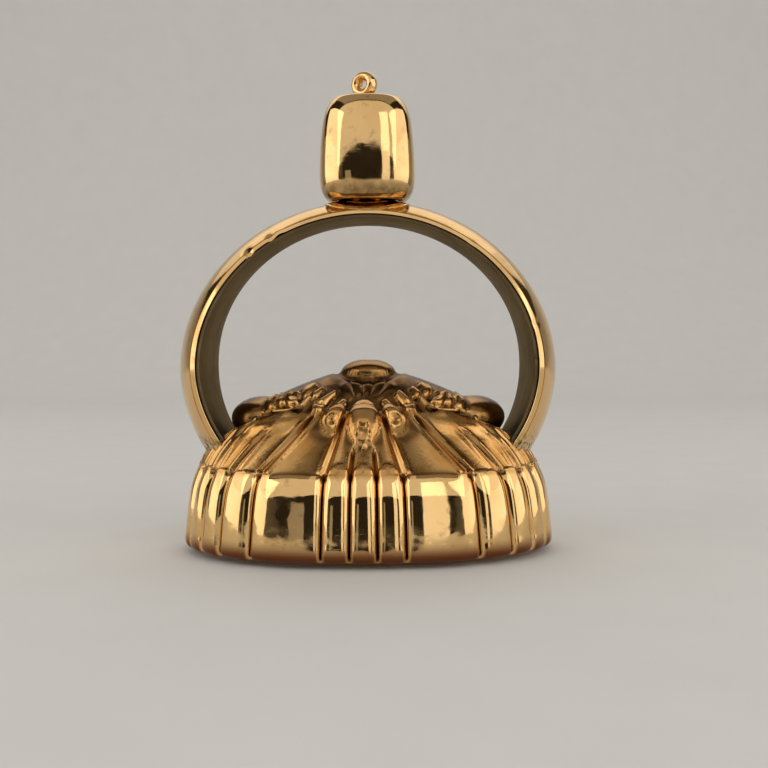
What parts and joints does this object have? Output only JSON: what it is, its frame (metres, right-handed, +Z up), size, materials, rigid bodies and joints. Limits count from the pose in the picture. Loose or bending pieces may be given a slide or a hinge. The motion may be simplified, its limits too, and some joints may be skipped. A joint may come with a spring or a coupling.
{
  "type": "fob seal",
  "caption": "Gold fob seal with an oval stone under a fluted, scroll-topped cap, a hollow arch handle, a knop and a small swivelling suspension eye.",
  "frame": {"origin": "centre of the stone's flat seal face, on the surface the seal stands on", "axes": "+Z up the seal's axis from the stone to the suspension eye, +X along the long way of the oval base and the width of the arch, -Y towards the pictured side"},
  "size_m": [0.0258, 0.0166, 0.0328],
  "materials": {
    "polished_gold": "polished",
    "plain_gold": "satin",
    "carnelian": "polished",
    "pitch": "matte"
  },
  "bodies": {
    "seal": {"seal_stone": "carnelian", "stone_bezel": "polished_gold", "back_plate": "plain_gold", "filler_core": "pitch", "cap_shell": "polished_gold", "handle_shell": "polished_gold", "handle_liner": "plain_gold", "knop_collar": "polished_gold", "knop_shell": "polished_gold", "knop_rivet": "plain_gold"},
    "eye": {"suspension_eye": "polished_gold", "eye_washer": "plain_gold"}
  },
  "joints": [
    {"name": "eye_swivel", "type": "hinge", "parent": "seal", "child": "eye", "pos_m": [-0.00018, 0, 0.0319], "axis": [0, 0, 1], "continuous": true}
  ]
}
